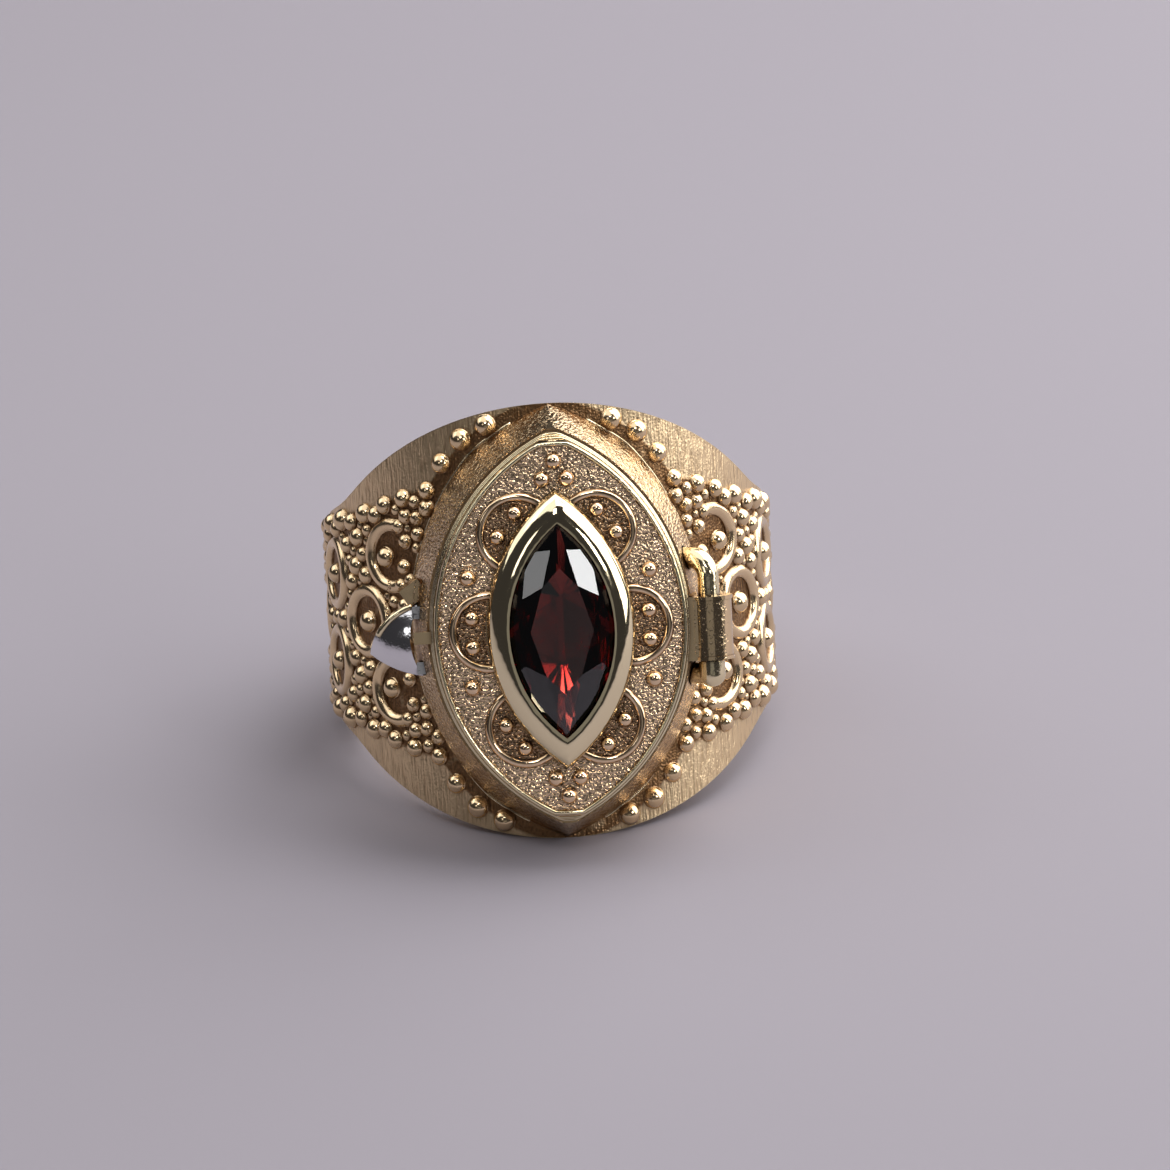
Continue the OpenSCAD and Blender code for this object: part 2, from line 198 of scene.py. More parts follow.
shading = bpy.data.node_groups.new("clean_shading", "GeometryNodeTree")
shading.interface.new_socket("Geometry", in_out="INPUT", socket_type="NodeSocketGeometry")
shading.interface.new_socket("Geometry", in_out="OUTPUT", socket_type="NodeSocketGeometry")
way_in = shading.nodes.new("NodeGroupInput")
way_out = shading.nodes.new("NodeGroupOutput")
join = shading.nodes.new("GeometryNodeMergeByDistance")
join.inputs["Distance"].default_value = seam_width
edge_turn = shading.nodes.new("GeometryNodeInputMeshEdgeAngle")
is_sharp = shading.nodes.new("FunctionNodeCompare")
is_sharp.operation = "GREATER_THAN"
is_sharp.inputs["B"].default_value = sharp_turn
smooth = shading.nodes.new("GeometryNodeSetShadeSmooth")
normals = shading.nodes.new("GeometryNodeSetMeshNormal")
for start, end in ((way_in.outputs[0], join.inputs["Geometry"]), (join.outputs[0], smooth.inputs["Geometry"]),
                   (smooth.outputs[0], normals.inputs["Mesh"]), (normals.outputs[0], way_out.inputs[0]),
                   (edge_turn.outputs["Unsigned Angle"], is_sharp.inputs["A"]),
                   (is_sharp.outputs[0], normals.inputs["Edge Sharpness"])):
    shading.links.new(start, end)
for node_name in ("band", "lid", "hinge_staple", "catch"):
    modifier = frame["nodes"][node_name].modifiers.new("clean_shading", "NODES")
    modifier.node_group = shading
print("sharp above", round(math.degrees(sharp_turn)), "degrees")

# %% [markdown]
# Every finish on this ring depends on where the gold is: polished on the granules, wires and rims, dull
# and brown on the cast ground between them, and scratched by the file on the plain margins. A real ring
# gets this from a dip in a dark solution and a last polish, which only reaches what stands proud. The
# graphs below do the same with sums on the point's place in the ring's own frame. Painting an image on
# the metal would also work, but this needs no unwrapping and stays sharp at any distance.

# %% Sizes of the ring, in millimetres, and its colours
finger_radius = frame["record"]["mounts"][0]["dims"]["r_mm"]
band_thickness = 1.35
band_radius = finger_radius + band_thickness
# Each side of a marquise is part of a circle, whose centre is this far from the middle
outline_centre, bezel_centre, foot_centre = 3.8, 4.2, 5.0
wall_half_width, wall_slope, box_top = 5.95, 0.29, 12.6
foot_half_width, bezel_foot, stone_half_width = 6.53, 3.3, 2.5
plate_front, plate_half_width = 13.74, 5.46
# The scallop wires on a quarter of the lid: [x, up, radius]
scallops = ((1.75, 4.3, 1.66), (3.2, 0.0, 1.64))

YELLOW_GOLD = (0.85, 0.64, 0.39)
PALE_GOLD = (0.92, 0.79, 0.52)
ROSE_GOLD = (0.86, 0.64, 0.42)
DARK_BROWN = (0.10, 0.052, 0.022)
WARM_BROWN = (0.30, 0.15, 0.06)
print("band radius", round(band_radius, 2), "mm")

# %% [markdown]
# The next helpers turn a place on the ring into a share from 0 to 1, such as how far a point lies in a
# hollow. Shares are combined like conditions: the product of two means both, and the bigger one means
# either. Noise gives the grain of the metal, and a bump node turns it into relief of a known depth.

# %% Helpers for places and grain
shelter_samples, open_share_in_open, open_share_in_hollow = 6, 0.92, 0.35


def length_of(tree, first, second):
    """The distance of a point from the origin of a plane, from its two places there."""
    pair = add_node(tree, "CombineXYZ", {0: first, 1: second}).outputs[0]
    return add_node(tree, "VectorMath", {0: pair}, operation="LENGTH").outputs["Value"]


def outline_reach(tree, x, up, centre):
    """Half width of the marquise outline that goes through a point."""
    away = sums(tree, "ADD", sums(tree, "ABSOLUTE", x), centre)
    return sums(tree, "SUBTRACT", length_of(tree, away, up), centre)


def both(tree, first, second):
    return sums(tree, "MULTIPLY", first, second)


def either(tree, first, second):
    return sums(tree, "MAXIMUM", first, second)


def opposite(tree, share):
    return sums(tree, "SUBTRACT", 1.0, share)


def blend_values(tree, share, low, high):
    """A number that goes from low to high with the share."""
    made = add_node(tree, "MapRange", {"Value": share, "To Min": low, "To Max": high})
    return made.outputs[0]


def grain(tree, place, per_mm, detail=2.0, stretch=(1, 1, 1)):
    """Noise with so many grains on a millimetre; a smaller stretch number draws them out that way."""
    drawn = add_node(tree, "Mapping", {"Vector": place, "Scale": stretch}, vector_type="POINT").outputs[0]
    return add_node(tree, "TexNoise", {"Vector": drawn, "Scale": per_mm, "Detail": detail}).outputs[0]


def relief(tree, height, depth_mm, under=None):
    """Turns a height from 0 to 1 into small relief of so many millimetres."""
    inputs = {"Height": height, "Distance": depth_mm * MM, "Strength": 1.0}
    if under is not None:
        inputs["Normal"] = under
    return add_node(tree, "Bump", inputs).outputs[0]


# Ambient occlusion: 1 where little of the room's light reaches a point. Used as a colour, it paints shade
# into hollows.
def shelter(tree, reach_mm):
    """0 in the open and 1 deep in a hollow, as far as a hollow of that size goes."""
    looked = add_node(tree, "AmbientOcclusion", {"Distance": reach_mm * MM}, samples=shelter_samples)
    return between(tree, looked.outputs["AO"], open_share_in_open, open_share_in_hollow)


def weaker(tree, share, strength):
    return sums(tree, "MULTIPLY", share, strength)


print("helpers for places and grain are ready")

# %% [markdown]
# The shank is one casting in yellow gold. Its ground between the granules is rough and brown, the plain
# margin along the rim shows short file strokes that run along the finger, and the strokes on the box
# wall run towards the lid. The rim, the granules and the scrolls are polished.
#
# First these parts are told apart by their place. A point of the wall lies on the wall's own outline, a
# granule stands proud of the round of the band, and the rim and the border of the granules are lines
# whose height changes from the back of the ring to its front.

# %% Where each finish goes on the band
# How near a point has to be to a surface to belong to it
near_slope, near_foot, near_band, near_rim, near_hole = 0.05, 0.03, 0.03, 0.02, 0.04
# The rim: its half height where the shoulders begin to widen, and how it rises from there
shoulder_front, shoulder_height, rim_rise, rim_bend, rim_softness = 3.8, 5.15, 0.462, 0.288, 0.3
# The field of granules: its half height at its corner, and how it rises behind and before that
corner_front, corner_height, rise_behind, rise_before = 8.3, 6.15, 0.38, 2.26
side_height, side_rise = 4.26, 0.155
field_softness, field_end, field_full = 0.12, -5.6, -4.9
proud_from, proud_to = 0.03, 0.14

band_gold, tree, shader = new_material("band_gold")
placed, x, front, up = ring_coordinates(tree)
radius = length_of(tree, x, front)
height = sums(tree, "SUBTRACT", radius, band_radius)
height_up = sums(tree, "ABSOLUTE", up)

wall_line = sums(tree, "MULTIPLY_ADD", front, -wall_slope, wall_half_width + wall_slope * box_top)
on_slope = sums(tree, "COMPARE", outline_reach(tree, x, up, outline_centre), wall_line, near_slope)
on_foot = sums(tree, "COMPARE", outline_reach(tree, x, up, foot_centre), foot_half_width, near_foot)
on_wall = both(tree, either(tree, on_slope, on_foot), sums(tree, "GREATER_THAN", height, near_band))
past_shoulder = sums(tree, "SUBTRACT", front, shoulder_front)
rim_line = sums(tree, "ADD", sums(tree, "MULTIPLY_ADD", past_shoulder, rim_rise, shoulder_height),
                length_of(tree, sums(tree, "MULTIPLY", past_shoulder, rim_bend), rim_softness))
on_rim = sums(tree, "GREATER_THAN", height_up, sums(tree, "SUBTRACT", rim_line, near_rim))
inside = sums(tree, "LESS_THAN", radius, finger_radius + near_hole)
past_corner = sums(tree, "SUBTRACT", front, corner_front)
field_line = either(tree, sums(tree, "MULTIPLY_ADD", past_corner, rise_behind, corner_height),
                    sums(tree, "MULTIPLY_ADD", past_corner, rise_before, corner_height))
field_line = either(tree, field_line, sums(tree, "MULTIPLY_ADD", front, side_rise, side_height))
past_field = sums(tree, "SUBTRACT", height_up, field_line)
in_field = both(tree, between(tree, past_field, field_softness, -field_softness),
                between(tree, front, field_end, field_full))
proud = both(tree, between(tree, height, proud_from, proud_to), opposite(tree, on_wall))
polished = either(tree, either(tree, proud, on_rim), inside)
dull = opposite(tree, polished)
ground = both(tree, in_field, opposite(tree, either(tree, polished, on_wall)))
print("band gold has", len(tree.nodes), "nodes for its places")

# %% [markdown]
# Now the colour and the roughness. Brown stays on the ground of the field, in patches, because the last
# polish only reaches what stands proud. The hollows turn brown as well, which is partly that patina and
# partly painted shade from ambient occlusion. The strokes of the file hold a little brown too.
# Noise stretched along the finger gives the strokes on the margins, and noise stretched along the wall's
# height gives those on the wall.

# %% The band's colour and roughness
ground_rough, wall_rough, polished_rough, rim_rough, hollow_rough = 0.34, 0.2, 0.19, 0.4, 0.45
along_finger, along_wall = (1.3, 1.3, 0.15), (1.2, 0.25, 1.2)
margin_strength, stroke_strength, brown_strength = 0.5, 0.55, 0.94
# The noise where a share is 0 and where it is 1: patches of brown, strokes on the wall and on the margins
patch_ends, wall_mark_ends, margin_mark_ends = (0.1, 0.4), (0.8, 0.62), (0.45, 0.35)
wall_speck_share = 0.5

specks = grain(tree, placed, per_mm=9.5, detail=0.5)
patches = grain(tree, placed, per_mm=0.9, detail=2.0)
file_strokes = grain(tree, placed, per_mm=8.0, detail=0.5, stretch=along_finger)
wall_strokes = grain(tree, placed, per_mm=8.0, detail=0.5, stretch=along_wall)
# Painted shade with some patina: ambient occlusion turns the hollows brown
hollow_shade = shelter(tree, reach_mm=0.55)
brown_share = either(tree, both(tree, ground, between(tree, patches, *patch_ends)), hollow_shade)
wall_marks = sums(tree, "MULTIPLY_ADD", specks, wall_speck_share, wall_strokes)
wall_shade = both(tree, on_wall, between(tree, wall_marks, *wall_mark_ends))
margin_shade = both(tree, between(tree, file_strokes, *margin_mark_ends), dull)
stroke_shade = either(tree, wall_shade, weaker(tree, margin_shade, margin_strength))
gold = mix_colour(tree, weaker(tree, stroke_shade, stroke_strength), YELLOW_GOLD, WARM_BROWN)
gold = mix_colour(tree, weaker(tree, brown_share, brown_strength), gold,
                  mix_colour(tree, specks, DARK_BROWN, WARM_BROWN))
tree.links.new(gold, shader.inputs["Base Color"])
shader.inputs["Metallic"].default_value = 1
rough = blend_values(tree, polished, blend_values(tree, on_wall, ground_rough, wall_rough), polished_rough)
rough = blend_values(tree, on_rim, rough, rim_rough)
tree.links.new(either(tree, rough, weaker(tree, hollow_shade, hollow_rough)), shader.inputs["Roughness"])
print("band gold has", len(tree.nodes), "nodes with its colours")

# %% [markdown]
# Last comes relief that is too fine to model: the strokes, the cast grain, and slow waves that the
# polishing brush leaves everywhere. Each is laid over the one before, so the depths add up.

# %% The band's fine relief
margin_speck_share = 0.35

strokes = mix_colour(tree, on_wall, file_strokes, wall_strokes)
speck_share = both(tree, dull, blend_values(tree, either(tree, on_wall, in_field), margin_speck_share, 1.0))
cut = relief(tree, both(tree, strokes, dull), depth_mm=0.05)
cut = relief(tree, both(tree, specks, speck_share), depth_mm=0.04, under=cut)
cut = relief(tree, grain(tree, placed, per_mm=1.6, detail=1.0), depth_mm=0.02, under=cut)
tree.links.new(cut, shader.inputs["Normal"])
print("band gold has", len(tree.nodes), "nodes in all")

# %% [markdown]
# The lid is a little redder. Its plate is slightly domed and was stippled with a fine punch and darkened,
# so it glitters in tiny points. The raised edge, the bezel, the scallop wires and the granules were
# burnished afterwards and are bright. Inside the scallops the plate stays darkest. The hollows of the lid
# get painted shade, which also stands for some patina, but the gold under the stone is left clean, because
# a setter polishes the seat so that it throws light back through the stone.
#
# As on the band, the parts come first: the plate, the bezel on it, the side with the knuckle, the insides
# of the scallops, and the seat under the stone.

# %% Where each finish goes on the lid
# How near a point has to be to a part to belong to it, and how far a finish goes past the part's edge
near_bezel, below_plate, above_plate, plate_ends, plate_under = 0.03, 0.02, 0.02, 0.07, 0.1
near_plate, side_beyond = 0.02, 0.14
wire_inside = 0.1
seat_margin, seat_below_lip = 0.1, 0.06
knuckle_from = 5.95

lid_gold, tree, shader = new_material("lid_gold")
placed, x, front, up = ring_coordinates(tree)
reach = outline_reach(tree, x, up, outline_centre)
bezel_reach = outline_reach(tree, x, up, bezel_centre)
on_bezel = both(tree, sums(tree, "LESS_THAN", bezel_reach, bezel_foot + near_bezel),
                sums(tree, "GREATER_THAN", front, plate_front - below_plate))
at_plate = both(tree, between(tree, front, plate_front + plate_ends, plate_front + above_plate),
                sums(tree, "GREATER_THAN", front, plate_front - plate_under))
on_plate = both(tree, sums(tree, "LESS_THAN", reach, plate_half_width + near_plate), at_plate)
on_plate = both(tree, on_plate, opposite(tree, on_bezel))
on_side = sums(tree, "GREATER_THAN", reach, plate_half_width + side_beyond)
on_knuckle = both(tree, sums(tree, "GREATER_THAN", x, knuckle_from), on_side)
in_seat = both(tree, sums(tree, "LESS_THAN", bezel_reach, stone_half_width + seat_margin),
               sums(tree, "LESS_THAN", front, bezel_front - seat_below_lip))

in_scallop = None
for place_x, place_up, size in scallops:
    across = sums(tree, "SUBTRACT", sums(tree, "ABSOLUTE", x), place_x)
    along = sums(tree, "SUBTRACT", sums(tree, "ABSOLUTE", up), place_up)
    inner = between(tree, length_of(tree, across, along), size, size - wire_inside)
    in_scallop = inner if in_scallop is None else either(tree, in_scallop, inner)
print("lid gold has", len(tree.nodes), "nodes for its places")

# %% [markdown]
# The punch leaves pits that hold the dark colour and crests that are rubbed bright. One noise does both:
# it sets the share of brown here and the depth of the relief in the next step, so the dark always lies in
# the pits. Everything but the plate is smooth, and the bezel is the smoothest.

# %% The lid's colour and roughness
scallop_crest_brown, plate_pit_brown, scallop_pit_brown, hollow_shade_brown = 0.7, 0.38, 0.97, 0.92
plain_rough, bezel_rough, plate_rough = 0.13, 0.07, 0.2
# The noise in a pit of the punch and on a crest
pit, crest = 0.36, 0.52

punch = grain(tree, placed, per_mm=8.5, detail=0.5)
patches = grain(tree, placed, per_mm=1.3, detail=2.0)
# Painted shade with some patina in the hollows, from ambient occlusion, kept out of the seat under the stone
hollow_shade = both(tree, shelter(tree, reach_mm=0.4), opposite(tree, in_seat))
least_brown = blend_values(tree, in_scallop, 0.0, scallop_crest_brown)
most_brown = blend_values(tree, in_scallop, plate_pit_brown, scallop_pit_brown)
plate_brown = blend_values(tree, between(tree, punch, pit, crest), most_brown, least_brown)
plate_brown = both(tree, on_plate, plate_brown)
brown_share = either(tree, plate_brown, weaker(tree, hollow_shade, hollow_shade_brown))
# Brown for the punch pits, which is patina, and for the hollows, which is partly painted shade
shade_and_patina_colour = mix_colour(tree, patches, DARK_BROWN, WARM_BROWN)
bright = mix_colour(tree, on_bezel, ROSE_GOLD, PALE_GOLD)
bright = mix_colour(tree, both(tree, on_side, opposite(tree, on_bezel)), bright, YELLOW_GOLD)
tree.links.new(mix_colour(tree, brown_share, bright, shade_and_patina_colour), shader.inputs["Base Color"])
shader.inputs["Metallic"].default_value = 1
rough = blend_values(tree, on_plate, blend_values(tree, on_bezel, plain_rough, bezel_rough), plate_rough)
tree.links.new(rough, shader.inputs["Roughness"])
print("lid gold has", len(tree.nodes), "nodes with its colours")

# %% [markdown]
# The dome of the plate is a bump as well: it bends the reflections as a real dome would, and the solid
# stays as it is. The knuckle gets the faintest trace of the punch, and the whole lid the slow waves of a
# hand polish.

# %% The lid's fine relief
knuckle_pit, knuckle_crest = 0.25, 0.45

across = sums(tree, "DIVIDE", x, plate_half_width)
dome = sums(tree, "SUBTRACT", 1.0, sums(tree, "MULTIPLY", across, across))
cut = relief(tree, both(tree, dome, on_plate), depth_mm=0.4)
cut = relief(tree, both(tree, punch, on_plate), depth_mm=0.08, under=cut)
knuckle_height = both(tree, between(tree, punch, knuckle_pit, knuckle_crest), on_knuckle)
cut = relief(tree, knuckle_height, depth_mm=0.004, under=cut)
cut = relief(tree, grain(tree, placed, per_mm=1.4, detail=1.0), depth_mm=0.012, under=cut)
tree.links.new(cut, shader.inputs["Normal"])
print("lid gold has", len(tree.nodes), "nodes in all")

# %% [markdown]
# The hinge wire is plain polished gold and the catch is polished white gold, each with the slight waves
# that a hand polish leaves. The waves break up the reflections, which is what makes a small polished
# piece look like metal.

# %% The wire's and the catch's metal
WHITE_GOLD = (0.82, 0.81, 0.83)
# The colour of the painted shade in the white gold catch's hollows
PAINTED_SHADE_GREY = (0.10, 0.09, 0.10)
shade_and_patina_strength, scratch_depth = 0.8, 0.006


def polished_metal(name, colour, roughness, wave_depth, shade_and_patina_colour):
    material, tree, shader = new_material(name)
    placed = ring_coordinates(tree)[0]
    # Painted shade: hollows found by ambient occlusion take the darker colour, which on yellow gold also
    # stands for patina
    shaded_colour = mix_colour(tree, weaker(tree, shelter(tree, reach_mm=0.4), shade_and_patina_strength), colour, shade_and_patina_colour)
    tree.links.new(shaded_colour, shader.inputs["Base Color"])
    shader.inputs["Metallic"].default_value = 1
    shader.inputs["Roughness"].default_value = roughness
    waves = relief(tree, grain(tree, placed, per_mm=2.2, detail=1.0), wave_depth)
    scratches = relief(tree, grain(tree, placed, per_mm=11.0, detail=2.0), scratch_depth, waves)
    tree.links.new(scratches, shader.inputs["Normal"])
    return material


wire_gold = polished_metal("wire_gold", PALE_GOLD, roughness=0.13, wave_depth=0.03, shade_and_patina_colour=DARK_BROWN)
seam_gold = polished_metal("seam_gold", PALE_GOLD, roughness=0.18, wave_depth=0.02, shade_and_patina_colour=YELLOW_GOLD)
trim_gold = polished_metal("trim_gold", PALE_GOLD, roughness=0.09, wave_depth=0.02, shade_and_patina_colour=WARM_BROWN)
white_gold = polished_metal("white_gold", WHITE_GOLD, roughness=0.12, wave_depth=0.015, shade_and_patina_colour=PAINTED_SHADE_GREY)
print("polished metals:", wire_gold.name, seam_gold.name, trim_gold.name, white_gold.name)

# %% [markdown]
# Garnet is a clear stone with strong colour. Light that goes a long way through it comes out nearly
# black, and light that only clips an edge comes out bright red. So the surface stays clear and the body
# of the stone takes up the light, most of all the green and blue. A red surface colour would be simpler,
# but then every facet would have the same red.

# %% The garnet
SURFACE_TINT = (1, 0.9, 0.9, 1)
BODY_TINT = (0.62, 0.02, 0.05, 1)
body_density = 1150.0
garnet_settings = {"Transmission Weight": 1, "IOR": 1.79, "Roughness": 0, "Specular IOR Level": 0.2}

garnet, tree, shader = new_material("garnet")
shader.inputs["Base Color"].default_value = SURFACE_TINT
for setting, value in garnet_settings.items():
    shader.inputs[setting].default_value = value
body_colour = add_node(tree, "VolumeAbsorption", {"Color": BODY_TINT, "Density": body_density})
tree.links.new(body_colour.outputs[0], tree.nodes["Material Output"].inputs["Volume"])
print("garnet bends light by", garnet_settings["IOR"])

# %% [markdown]
# Now each solid gets its finish. The solids keep their shape and their place; only the material in their
# slot changes, which is all that dressing a finished part needs.

# %% Dress the solids
finishes = {"band": band_gold, "lid": lid_gold, "stone": garnet, "hinge_staple": wire_gold,
            "catch": white_gold}
for node_name, material in finishes.items():
    slots = frame["nodes"][node_name].data.materials
    slots.clear()
    slots.append(material)
print("dressed", len(finishes), "solids")

# %% [markdown]
# A fine wire is soldered along the foot of the box, where its wall stands on the band. On the real ring it
# hides the seam. Its path is found by walking up each side and sliding outwards until the wall meets the
# band, and a thin tube is drawn along it.

# %% Seam wire along the foot of the box
seam_radius = 0.06
seam_steps = 150
seam_end = 9.0
first_guess, slide_steps = 8.0, 20


def outline_x(half_width, centre, height_here):
    """The x of a marquise outline at a height, and 0 past its tip."""
    return max(0.0, math.sqrt(max(0.0, (half_width + centre) ** 2 - height_here ** 2)) - centre)


def foot_of_wall(height_here):
    """The x and front of the place where the box wall meets the band, at a height."""
    front_here = first_guess
    for _ in range(slide_steps):
        slope_half_width = wall_half_width + wall_slope * (box_top - front_here)
        x_here = min(outline_x(slope_half_width, outline_centre, height_here),
                     outline_x(foot_half_width, foot_centre, height_here))
        front_here = math.sqrt(band_radius ** 2 - x_here ** 2)
    return x_here, front_here


def add_piece(name, verts, faces, material):
    """A smooth object of its own, from points in metres."""
    mesh = bpy.data.meshes.new(name)
    mesh.from_pydata(verts, [], faces)
    mesh.shade_smooth()
    mesh.materials.append(material)
    piece = bpy.data.objects.new(name, mesh)
    bpy.context.scene.collection.objects.link(piece)
    return piece


def tube(name, path, tube_radius, material, body, loop=False, sides=8):
    """A tube along points in millimetres of the ring's own frame, with closed ends or as a loop."""
    spots = [ring_point(*p) for p in path]
    verts, faces = [], []
    count = len(spots)
    for i, spot in enumerate(spots):
        before = (i - 1) % count if loop else max(i - 1, 0)
        after = (i + 1) % count if loop else min(i + 1, count - 1)
        ahead = (spots[after] - spots[before]).normalized()
        across = ahead.cross(spot - finger_hole).normalized()
        out = across.cross(ahead)
        for k in range(sides):
            turn = 2 * math.pi * k / sides
            verts.append(spot + (across * math.cos(turn) + out * math.sin(turn)) * tube_radius * MM)
    for i in range(count if loop else count - 1):
        for k in range(sides):
            low, high = i * sides, (i + 1) % count * sides
            faces.append((low + k, low + (k + 1) % sides, high + (k + 1) % sides, high + k))
    if not loop:
        faces.append(tuple(reversed(range(sides))))
        faces.append(tuple(range((count - 1) * sides, count * sides)))
    piece = add_piece(name, verts, faces, material)
    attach(piece, body)
    print(name, "has", count, "rings of points")


for side_name, sign in (("left", -1), ("right", 1)):
    path = []
    for i in range(seam_steps + 1):
        height_here = -seam_end + 2 * seam_end * i / seam_steps
        x_here, front_here = foot_of_wall(height_here)
        path.append((sign * x_here, front_here, height_here))
    tube("seam_wire_" + side_name, path, seam_radius, seam_gold, "ring")

# %% [markdown]
# The lid's rim is a round bead, and fine wires run round its side below it. The bead sits on the lid's
# plain raised edge and is what catches the light all round the lid. Both follow the lid's outline, which
# is a marquise with blunt tips, so one function gives that outline at any width.

# %% Bead and wires round the lid
bead_radius, bead_front, bead_half_width, bead_tip = 0.1, 13.8, 5.54, 8.24
side_wire_radius = 0.045
side_wire_fronts = (13.06, 13.28, 13.5)
lid_steps = 240
# The lid's side at its lower and upper end: [front, half width, half length to the blunt tip]
side_widths = ((12.96, 5.79, 8.69), (13.86, 5.62, 8.32))


def lid_outline(half_width, tip, turn):
    """A point of the lid's outline, in the direction that a turn gives."""
    across = outline_centre * abs(math.cos(turn))
    away = math.sqrt(across ** 2 + (half_width + outline_centre) ** 2 - outline_centre ** 2) - across
    away = min(away, tip)
    return away * math.cos(turn), away * math.sin(turn)


def lid_loop(name, half_width, tip, at_front, tube_radius):
    path = []
    for i in range(lid_steps):
        x_here, up_here = lid_outline(half_width, tip, 2 * math.pi * i / lid_steps)
        path.append((x_here, at_front, up_here))
    tube(name, path, tube_radius, trim_gold, "lid", loop=True)


lid_loop("lid_bead", bead_half_width, bead_tip, bead_front, bead_radius)
(low_front, low_half, low_tip), (high_front, high_half, high_tip) = side_widths
for number, at_front in enumerate(side_wire_fronts, 1):
    share = (at_front - low_front) / (high_front - low_front)
    lid_loop(f"lid_side_wire_{number}", low_half + (high_half - low_half) * share,
             low_tip + (high_tip - low_tip) * share, at_front, side_wire_radius)

# %% [markdown]
# The catch is white gold, but its upper edge wears a strip of yellow gold. The leaf is a piece of a hollow
# ball, so the strip is an arc round the leaf's outline, lifted onto that ball.

# %% Gold strip on the catch
# The ball's centre and the outline's centre, as x and up, with the ball's distance in front
leaf_x, leaf_up, leaf_front, leaf_radius = -6.15, -0.45, 8.95, 2.8
edge_x, edge_up, edge_radius = -5.83, -1.39, 2.58
strip_from, strip_to, strip_steps, strip_radius = 106, 152, 16, 0.14

path = []
for i in range(strip_steps + 1):
    turn = math.radians(strip_from + (strip_to - strip_from) * i / strip_steps)
    x_here = edge_x + edge_radius * math.cos(turn)
    up_here = edge_up + edge_radius * math.sin(turn)
    flat_distance = math.hypot(x_here - leaf_x, up_here - leaf_up)
    path.append((x_here, leaf_front + math.sqrt(leaf_radius ** 2 - flat_distance ** 2), up_here))
tube("catch_strip", path, strip_radius, wire_gold, "ring")

# %% [markdown]
# On the real shoulders the granules lie so close that the ground hardly shows. The solids carry the main
# ones, and here the gaps between them are filled with smaller ones. They could be placed by hand, but a
# search does it: at each spot of a fine grid, rays along the surface tell how far the next granule, wire
# or wall is, and a granule is set wherever it has room, the big ones first.

# %% Find the room between the granules
# The fine grid of spots: from where to where in degrees from the front, and its steps in degrees and mm
fill_from, fill_to, turn_step, height_step = 34, 121, 0.65, 0.13
ray_height, ray_count, ray_reach = 0.14, 14, 1.0
border_inset = 0.45
side_front, side_half_height = 5.4, 5.1
scroll_radius = 1.42
# The middle of each scroll on one side: [degrees from the front, height]
scroll_places = ((57.5, 0), (97, 0), (77, 2), (77, -2), (46.3, 3.05), (46.3, -3.05))

band = frame["nodes"]["band"]
to_ring = ring_frame.inverted() @ band.matrix_world
band_points = [to_ring @ v.co for v in band.data.vertices]
band_search = BVHTree.FromPolygons(band_points, [tuple(p.vertices) for p in band.data.polygons])


def on_band(turn, height_here, above=0.0):
    """A place on the band, at a turn from the front and a height, in the ring's own frame."""
    away = band_radius + above
    return Vector((away * math.sin(turn), -away * math.cos(turn), height_here))


def border_line(front_here):
    """Half height of the field of granules at a distance in front of the finger axis."""
    past_corner_here = front_here - corner_front
    return max(corner_height + past_corner_here * rise_before, corner_height + past_corner_here * rise_behind,
               side_half_height + (front_here - side_front) * side_rise)


def room_at(turn, height_here):
    """The distance to the nearest thing that stands on the band's surface."""
    spot = on_band(turn, height_here, ray_height)
    along = Vector((math.cos(turn), math.sin(turn), 0))
    room = ray_reach
    for k in range(ray_count):
        ray_turn = 2 * math.pi * k / ray_count
        ray = along * math.cos(ray_turn) + Vector((0, 0, math.sin(ray_turn)))
        distance = band_search.ray_cast(spot, ray, ray_reach)[3]
        if distance is not None:
            room = min(room, distance)
    return room


def in_scroll(degrees, height_here):
    """True inside a scroll, where one granule stands on bare ground."""
    distances = [math.hypot(math.radians(degrees - at) * band_radius, height_here - high)
                 for at, high in scroll_places]
    return min(distances) < scroll_radius


def free_spots(sign):
    """Rows [turn, height, room] of the spots on one side that lie in the field and in no scroll."""
    free = []
    degrees = fill_from
    while degrees < fill_to:
        turn = sign * math.radians(degrees)
        limit = border_line(band_radius * math.cos(turn)) - border_inset
        height_here = -limit
        while height_here < limit:
            if not in_scroll(degrees, height_here):
                free.append((turn, height_here, room_at(turn, height_here)))
            height_here += height_step
        degrees += turn_step
    return free


spots_of_side = {"left": free_spots(-1), "right": free_spots(1)}
print({name: len(spots) for name, spots in spots_of_side.items()}, "spots on the two sides")

# %% [markdown]
# With the room known, the biggest size goes round all the spots first and the smallest last, so each gap
# gets the biggest granule that fits. Neighbours may overlap a little, as they do where solder has drawn
# them together. All the granules of a side are joined into one piece, which keeps the scene light.

# %% Granules that fill the gaps on the shoulders
fill_sizes = (0.9, 0.78, 0.66, 0.54, 0.44)
fill_sink = 0.06
overlap = 0.9
ball_rows, ball_sides = 7, 14


def fits(turn, height_here, size, others):
    """True if a granule stays clear of the others, apart from the overlap."""
    return all(math.hypot((turn - other_turn) * band_radius, height_here - other_height)
               > (size + other_size) / 2 * overlap for other_turn, other_height, other_size in others)


def filled_places(spots):
    """Rows [turn, height, diameter] of the granules that fit on one side."""
    placed_rows = []
    for size in fill_sizes:
        for turn, height_here, room in spots:
            if room >= size / 2 * overlap and fits(turn, height_here, size, placed_rows):
                placed_rows.append((turn, height_here, size))
    return placed_rows


